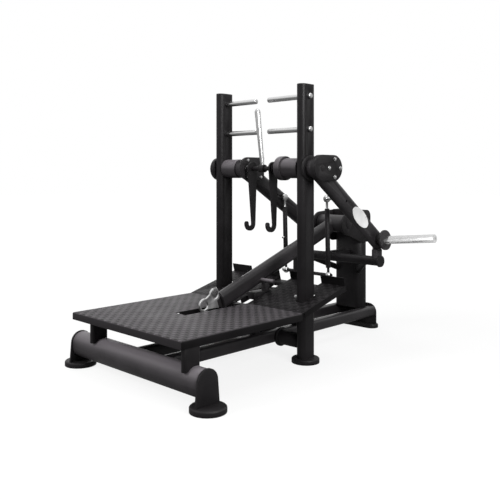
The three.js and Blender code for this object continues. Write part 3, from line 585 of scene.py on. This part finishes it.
# Stouter release hooks over their plain solids: a tapered stem, a deep curl and a short tip
HOOK = {
    "eye": 0.04,
    "eye_ends": (-0.16, 1.16),  # half turns at which the stem's sides leave the eye
    "drop": 0.34,  # from the shaft down to the curl's middle
    "forward": 0.0207,  # from the shaft forward to the curl's middle
    "inner": 0.0155,
    "outer": 0.044,
    "tip": 0.002,  # rise of the tip's middle over the curl's
    "thick": 0.012,
    "hub": 0.03,
    "hub_reach": 0.0114,
    "hub_steps": 36,
    "bore": 0.0138,
    "bore_steps": 24,
}
CURL_STEPS = 20
shaft = middle_of("catch_shaft")


def plate_from(work, outline, low, high, hole):
    """A flat plate in (Y, Z) between two X, with a hole of its own outline."""
    edges = []
    for loop in (outline, hole):
        verts = [work.verts.new((low, y, z)) for y, z in loop]
        edges += [work.edges.new((verts[i - 1], verts[i])) for i in range(len(verts))]
    made = bmesh.ops.triangle_fill(work, edges=edges, use_beauty=True)
    faces = [item for item in made["geom"] if isinstance(item, bmesh.types.BMFace)]
    grown = bmesh.ops.extrude_face_region(work, geom=faces, use_keep_orig=True)
    moved = [item for item in grown["geom"] if isinstance(item, bmesh.types.BMVert)]
    bmesh.ops.translate(work, verts=moved, vec=(high - low, 0, 0))


def hook_outline():
    inner, outer = HOOK["inner"], HOOK["outer"]
    y = shaft.y - HOOK["forward"]
    z = shaft.z - HOOK["drop"]
    points = arc(shaft.y, shaft.z, HOOK["eye"], *HOOK["eye_ends"], 2 * CURL_STEPS)
    points += arc(y, z, inner, 0, -1, CURL_STEPS)
    points += arc(y - (inner + outer) / 2, z + HOOK["tip"], (outer - inner) / 2, 0, 1, CURL_STEPS)
    points += arc(y, z, outer, 1, 2, CURL_STEPS)
    return points


def hook_builder(near, side):
    """A hook and its hub, outwards from the hook's inner face."""
    far = near + side * HOOK["thick"]
    end = far + side * HOOK["hub_reach"]
    bore = circle(shaft.y, shaft.z, HOOK["bore"], HOOK["bore_steps"])
    hub = circle(shaft.y, shaft.z, HOOK["hub"], HOOK["hub_steps"])

    def build(work):
        plate_from(work, hook_outline(), min(near, far), max(near, far), bore)
        plate_from(work, hub, min(far, end), max(far, end), bore)

    return build


for label, side in (("left", -1), ("right", 1)):
    low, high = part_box("hook_" + label)
    build = hook_builder(high.x if side < 0 else low.x, side)
    piece = mesh_piece("release_hook_" + label, build, BLACK, "catch")
    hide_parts("hook_" + label)

# The bare oval plate on the weight arm, to its photographed size, with a rolled rim
ARM_SLOPE = math.radians(36.2)
BADGE = {
    "half_length": 0.094,
    "half_width": 0.046,
    "thick": 0.0018,
    "rim": 0.003,
    "rise": 0.0012,
    "along": 0.008,  # down the arm from the middle of the plain plate
    "steps": 64,
}


def oval_plate(work):
    low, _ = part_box("badge_plate")
    middle = middle_of("badge_plate")
    turn = Matrix.Rotation(-ARM_SLOPE, 4, "X")
    centre = Vector((low.x, middle.y, middle.z))
    centre += Vector((0, math.cos(ARM_SLOPE), -math.sin(ARM_SLOPE))) * BADGE["along"]
    rim, thick, steps = BADGE["rim"], BADGE["thick"], BADGE["steps"]
    top = thick + BADGE["rise"]
    rings = []
    for inset, height in ((0, 0), (0, top), (rim, top), (2 * rim, thick)):
        ring = []
        for i in range(steps):
            angle = 2 * math.pi * i / steps
            y = (BADGE["half_length"] - inset) * math.cos(angle)
            z = (BADGE["half_width"] - inset) * math.sin(angle)
            ring.append(work.verts.new(centre + turn @ Vector((height, y, z))))
        rings.append(ring)
    work.faces.new(rings[0])
    work.faces.new(rings[-1])
    for first, second in zip(rings, rings[1:]):
        for i in range(steps):
            work.faces.new((first[i - 1], first[i], second[i], second[i - 1]))


piece = mesh_piece("oval_plate", oval_plate, ALLOY, "weight_arm")
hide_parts("badge_plate")


# Room: white floor and world, the lamps, the camera

WHITE = (1, 1, 1, 1)
WORLD_LIGHT = 0.3  # brightness of the world as it lights the object
ROOM_HEIGHTS = (-0.35, 0.55)  # heights of a mirrored direction between which the room brightens
ROOM_LIGHT = (0.1, 1.1)  # its brightness at the two
FLOOR_HALF = 30
FLOOR_DROP = 0.0005
FLOOR_GREY = 0.8
FLOOR_ROUGH = 0.9
FLOOR_GLOW = 1.05
FLOOR_FADE = (1.4, 3.0)  # distances between which the shadowed floor fades into plain white
FLOOR_PLAIN = (0.8, 1.0)  # share of plain white at the two
FLOOR_REFLECTED = 0.22  # the floor's brightness in mirrors
FLOOR_BOUNCE = 0.2  # the floor's grey as it lights the object from below

# Place, target, width, power, and whether mirrors show the lamp
LAMPS = {
    "key": ((-1.8, -4.2, 2.6), (0, 0, 0.4), 2.4, 185, False),
    "fill": ((4.2, -1.2, 2.4), (0, 0, 0.7), 2.2, 150, True),
    "top": ((0.2, 0.0, 4.4), (0, 0, 0.4), 3.0, 56, True),
    "sheen": ((-3.5, 1.9, 1.7), (-0.3, -0.5, 0.3), 2.2, 14, True),
}


def seen_white(n, path):
    """Set for the camera's rays, and for those that pass through something."""
    return n.math("MAXIMUM", path["Is Camera Ray"], path["Is Transmission Ray"])


def make_world():
    """A white backdrop; mirrors see a room that brightens towards its ceiling."""
    world = bpy.data.worlds.new("white_room")
    bpy.context.scene.world = world
    n = Nodes(world)
    path = n.add("ShaderNodeLightPath").outputs
    plain = n.tree.nodes["Background"]
    plain.inputs["Color"].default_value = WHITE
    plain.inputs["Strength"].default_value = WORLD_LIGHT
    white = n.add("ShaderNodeBackground", Color=WHITE, Strength=1.0)
    light = n.spread(n.z_of(n.spots["Generated"]), *ROOM_LIGHT, *ROOM_HEIGHTS)
    room = n.add("ShaderNodeBackground", Color=WHITE, Strength=light)
    mirrored = n.choose(path["Is Glossy Ray"], plain.outputs[0], room.outputs[0])
    shown = n.choose(seen_white(n, path), mirrored, white.outputs[0])
    n.feed(n.tree.nodes["World Output"].inputs["Surface"], shown)


def floor_material():
    """White, with the object's soft shadow near it, and darker to all but the camera."""
    n = Nodes(bpy.data.materials.new("white_floor"))
    path = n.add("ShaderNodeLightPath").outputs
    lit = n.tree.nodes["Principled BSDF"].outputs[0]
    glow = n.add("ShaderNodeEmission", Strength=FLOOR_GLOW)
    dim = n.add("ShaderNodeEmission", Strength=FLOOR_REFLECTED)
    dark = n.add("ShaderNodeBsdfDiffuse", Color=grey(FLOOR_BOUNCE, NEUTRAL))
    away = n.add("ShaderNodeVectorMath")
    away.operation = "LENGTH"
    n.feed(away.inputs[0], n.place)
    share = n.spread(away.outputs["Value"], *FLOOR_PLAIN, *FLOOR_FADE)
    bounced = n.choose(path["Is Diffuse Ray"], lit, dark.outputs[0])
    mirrored = n.choose(path["Is Glossy Ray"], bounced, dim.outputs[0])
    bright = n.choose(share, lit, glow.outputs[0])
    shown = n.choose(seen_white(n, path), mirrored, bright)
    n.feed(n.tree.nodes["Material Output"].inputs["Surface"], shown)
    return n.finish(Base_Color=grey(FLOOR_GREY, NEUTRAL), Roughness=FLOOR_ROUGH)


def make_floor():
    mesh = bpy.data.meshes.new("floor")
    work = bmesh.new()
    bmesh.ops.create_grid(work, x_segments=1, y_segments=1, size=FLOOR_HALF)
    work.to_mesh(mesh)
    work.free()
    floor = bpy.data.objects.new("floor", mesh)
    floor.location.z = -FLOOR_DROP
    bpy.context.scene.collection.objects.link(floor)
    mesh.materials.append(floor_material())


def make_lamp(name, place, target, width, power, mirrored):
    data = bpy.data.lights.new(name, "AREA")
    data.shape = "DISK"
    data.size = width
    data.energy = power
    obj = bpy.data.objects.new(name, data)
    obj.location = place
    aim = Vector(target) - Vector(place)
    obj.rotation_euler = aim.to_track_quat("-Z", "Y").to_euler()
    obj.visible_glossy = mirrored
    bpy.context.scene.collection.objects.link(obj)


def make_camera():
    data = bpy.data.cameras.new("camera")
    data.lens = CAMERA_LENS
    data.shift_x, data.shift_y = CAMERA_SHIFT
    camera = bpy.data.objects.new("camera", data)
    camera.location = CAMERA_PLACE
    camera.rotation_euler = (math.pi / 2, 0, CAMERA_AZIMUTH)
    bpy.context.scene.collection.objects.link(camera)
    bpy.context.scene.camera = camera


make_world()
make_floor()
for name, settings in LAMPS.items():
    make_lamp(name, *settings)
make_camera()
bpy.context.scene.view_settings.view_transform = "Standard"
